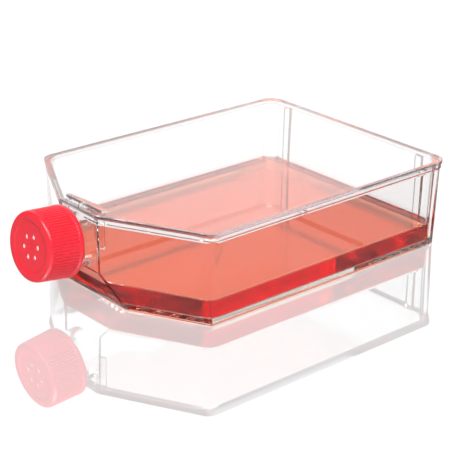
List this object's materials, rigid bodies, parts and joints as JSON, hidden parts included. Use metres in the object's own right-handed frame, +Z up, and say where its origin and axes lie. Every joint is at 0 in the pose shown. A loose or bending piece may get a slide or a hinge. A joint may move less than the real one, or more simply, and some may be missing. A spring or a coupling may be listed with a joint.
{
  "type": "cell culture flask",
  "caption": "Flat rectangular cell culture flask lying on its growth face, part filled with red medium, with a canted threaded neck and a ribbed vented screw cap.",
  "frame": {"origin": "bottom centre of the bounding box of the whole flask with its cap closed", "axes": "+Z up through the lid, the neck points along -X and 6.47 degrees upwards, Y is the width"},
  "size_m": [0.1908, 0.117, 0.0442],
  "materials": {
    "clear_tray": "clear, polished",
    "clear_lid": "clear, polished",
    "red_medium": "clear liquid",
    "red_cap": "satin moulded",
    "seal": "satin",
    "membrane": "matt"
  },
  "bodies": {
    "flask": {"flask_body": "clear_tray", "top_plate": "clear_lid", "culture_medium": "red_medium"},
    "cap_seal": {"seal_ring": "seal"},
    "cap": {"screw_cap": "red_cap", "vent_membrane": "membrane"}
  },
  "joints": [
    {"name": "cap_rise", "type": "slide", "parent": "flask", "child": "cap_seal", "axis": [-0.9936, 0, 0.1127], "range_m": [0, 0.00525]},
    {"name": "cap_turn", "type": "hinge", "parent": "cap_seal", "child": "cap", "pos_m": [-0.0849, 0, 0.02849], "axis": [-0.9936, 0, 0.1127], "range_deg": [0, 450]}
  ],
  "couplings": [
    {"joint": "cap_rise", "follows": "cap_turn", "m_per_rad": 0.00066845}
  ]
}
